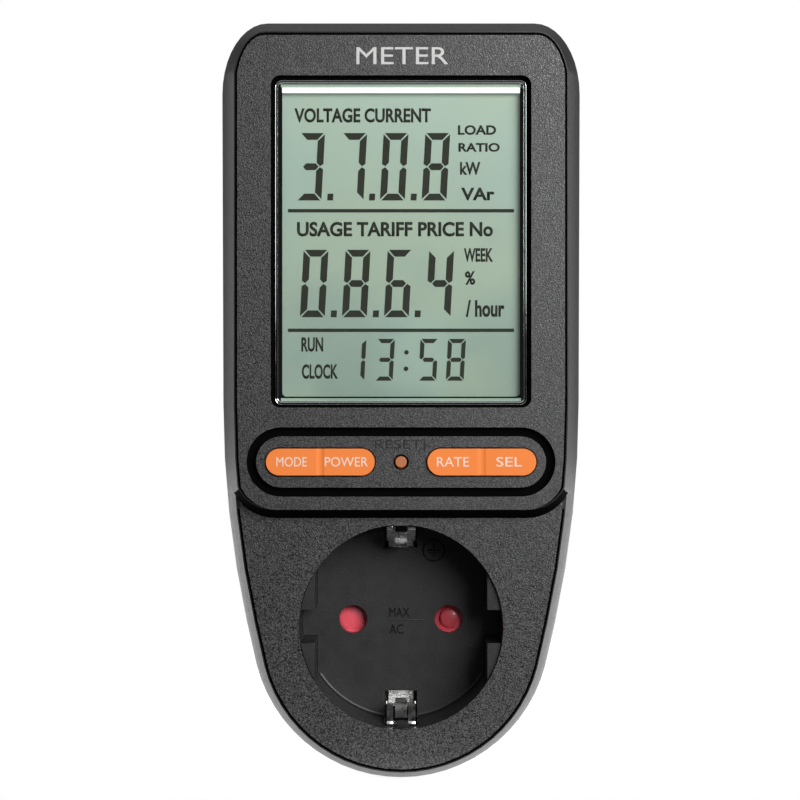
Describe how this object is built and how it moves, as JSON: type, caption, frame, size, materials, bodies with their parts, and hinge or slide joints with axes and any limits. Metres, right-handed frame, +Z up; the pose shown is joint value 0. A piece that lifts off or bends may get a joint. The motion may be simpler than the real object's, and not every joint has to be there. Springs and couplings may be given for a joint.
{
  "type": "plug-in power meter",
  "caption": "Plug-in mains power meter with an LCD, rocker keys, a reset key and a shuttered earthed socket in front, and an earthed two-pin plug behind.",
  "frame": {"origin": "midway between the two plug pins, on the contact face of the plug body", "axes": "+Y along the plug pins, away from the front; +Z up along the housing; +X to the right seen from the front"},
  "size_m": [0.07, 0.0713, 0.1473],
  "materials": {
    "housing_black": "fine grained ABS with smooth semi-gloss sides",
    "socket_black": "smooth satin thermoplastic",
    "plug_black": "smooth satin thermoplastic",
    "key_orange": "satin orange plastic",
    "shutter_red": "red plastic",
    "window_clear": "clear acrylic",
    "lcd_glass": "pale green reflective LCD",
    "lcd_silver": "matt reflector foil",
    "frame_white": "moulded white plastic",
    "elastomer_pink": "silicone connector strip",
    "board_green": "solder mask over glass laminate",
    "chip_black": "moulded epoxy",
    "steel_plain": "zinc plated steel",
    "nickel": "nickel plated brass",
    "brass_strip": "stamped brass",
    "manganin": "manganin strip",
    "switch_black": "moulded plastic with a steel lid",
    "plunger_white": "moulded plastic",
    "capacitor_yellow": "boxed film capacitor",
    "capacitor_sleeve": "shrink sleeve",
    "varistor_blue": "dipped epoxy",
    "resistor_green": "flameproof coating",
    "resistor_tan": "lacquer",
    "battery_green": "shrink sleeve",
    "carrier_ivory": "glass filled plastic",
    "header_cream": "moulded plastic",
    "ribbon_grey": "PVC ribbon",
    "wire_blue": "PVC insulation",
    "spring_steel": "spring wire",
    "label_grey": "printed foil with no text"
  },
  "bodies": {
    "housing": {"front_shell": "housing_black", "rear_shell": "housing_black", "display_window": "window_clear", "lcd_front_glass": "lcd_glass", "lcd_rear_glass": "lcd_glass", "lcd_reflector": "lcd_silver", "lcd_frame": "frame_white", "zebra_strip": "elastomer_pink", "display_board": "board_green", "display_board_screws": "steel_plain", "controller_chip": "chip_black", "crystal": "steel_plain", "backup_battery": "battery_green", "switch_bodies": "switch_black", "socket_well": "socket_black", "socket_base": "socket_black", "shutter_spring": "spring_steel", "contact_carrier": "carrier_ivory", "carrier_screws": "steel_plain", "earth_bow": "nickel", "earth_hole_contact": "brass_strip", "live_in_strap": "brass_strip", "live_out_contact": "brass_strip", "neutral_contact": "brass_strip", "plug_body": "plug_black", "plug_pin_live": "nickel", "plug_pin_neutral": "nickel", "power_board": "board_green", "power_board_screws": "steel_plain", "metering_chip": "chip_black", "shunt": "manganin", "x2_capacitor": "capacitor_yellow", "electrolytic_capacitors": "capacitor_sleeve", "varistor": "varistor_blue", "fuse_resistor": "resistor_green", "rectifier_diodes": "chip_black", "dropper_resistors": "resistor_tan", "board_headers": "header_cream", "ribbon_cable": "ribbon_grey", "neutral_wire": "wire_blue", "case_screws": "steel_plain", "rating_label": "label_grey"},
    "rocker_left": {"button_left": "key_orange"},
    "rocker_right": {"button_right": "key_orange"},
    "reset": {"reset_button": "key_orange"},
    "sliding_shutter": {"shutter": "shutter_red"},
    "tact_left_outer": {"plunger_left_outer": "plunger_white"},
    "tact_left_inner": {"plunger_left_inner": "plunger_white"},
    "tact_reset": {"plunger_reset": "plunger_white"},
    "tact_right_inner": {"plunger_right_inner": "plunger_white"},
    "tact_right_outer": {"plunger_right_outer": "plunger_white"}
  },
  "joints": [
    {"name": "left_key_rock", "type": "hinge", "parent": "housing", "child": "rocker_left", "pos_m": [-0.01535, -0.0473, 0.0318], "axis": [0, 0, 1], "range_deg": [-1.2, 1.2], "stiffness_Nm_per_rad": 0.25},
    {"name": "right_key_rock", "type": "hinge", "parent": "housing", "child": "rocker_right", "pos_m": [0.01535, -0.0473, 0.0318], "axis": [0, 0, 1], "range_deg": [-1.2, 1.2], "stiffness_Nm_per_rad": 0.25},
    {"name": "reset_press", "type": "slide", "parent": "housing", "child": "reset", "axis": [0, 1, 0], "range_m": [0, 0.00025], "stiffness_N_per_m": 4000, "springref_m": -0.0002},
    {"name": "shutter_slide", "type": "slide", "parent": "housing", "child": "sliding_shutter", "axis": [1, 0, 0], "range_m": [0, 0.0058], "stiffness_N_per_m": 120, "springref_m": -0.003, "deforming": ["shutter_spring"]},
    {"name": "left_outer_plunger", "type": "slide", "parent": "housing", "child": "tact_left_outer", "axis": [0, 1, 0], "range_m": [-0.00015, 0.00015]},
    {"name": "left_inner_plunger", "type": "slide", "parent": "housing", "child": "tact_left_inner", "axis": [0, 1, 0], "range_m": [-0.00015, 0.00015]},
    {"name": "reset_plunger", "type": "slide", "parent": "housing", "child": "tact_reset", "axis": [0, 1, 0], "range_m": [0, 0.00025]},
    {"name": "right_inner_plunger", "type": "slide", "parent": "housing", "child": "tact_right_inner", "axis": [0, 1, 0], "range_m": [-0.00015, 0.00015]},
    {"name": "right_outer_plunger", "type": "slide", "parent": "housing", "child": "tact_right_outer", "axis": [0, 1, 0], "range_m": [-0.00015, 0.00015]}
  ],
  "couplings": [
    {"joint": "left_outer_plunger", "follows": "left_key_rock", "m_per_rad": -0.007},
    {"joint": "left_inner_plunger", "follows": "left_key_rock", "m_per_rad": 0.007},
    {"joint": "right_inner_plunger", "follows": "right_key_rock", "m_per_rad": -0.007},
    {"joint": "right_outer_plunger", "follows": "right_key_rock", "m_per_rad": 0.007},
    {"joint": "reset_plunger", "follows": "reset_press", "ratio": 1}
  ]
}
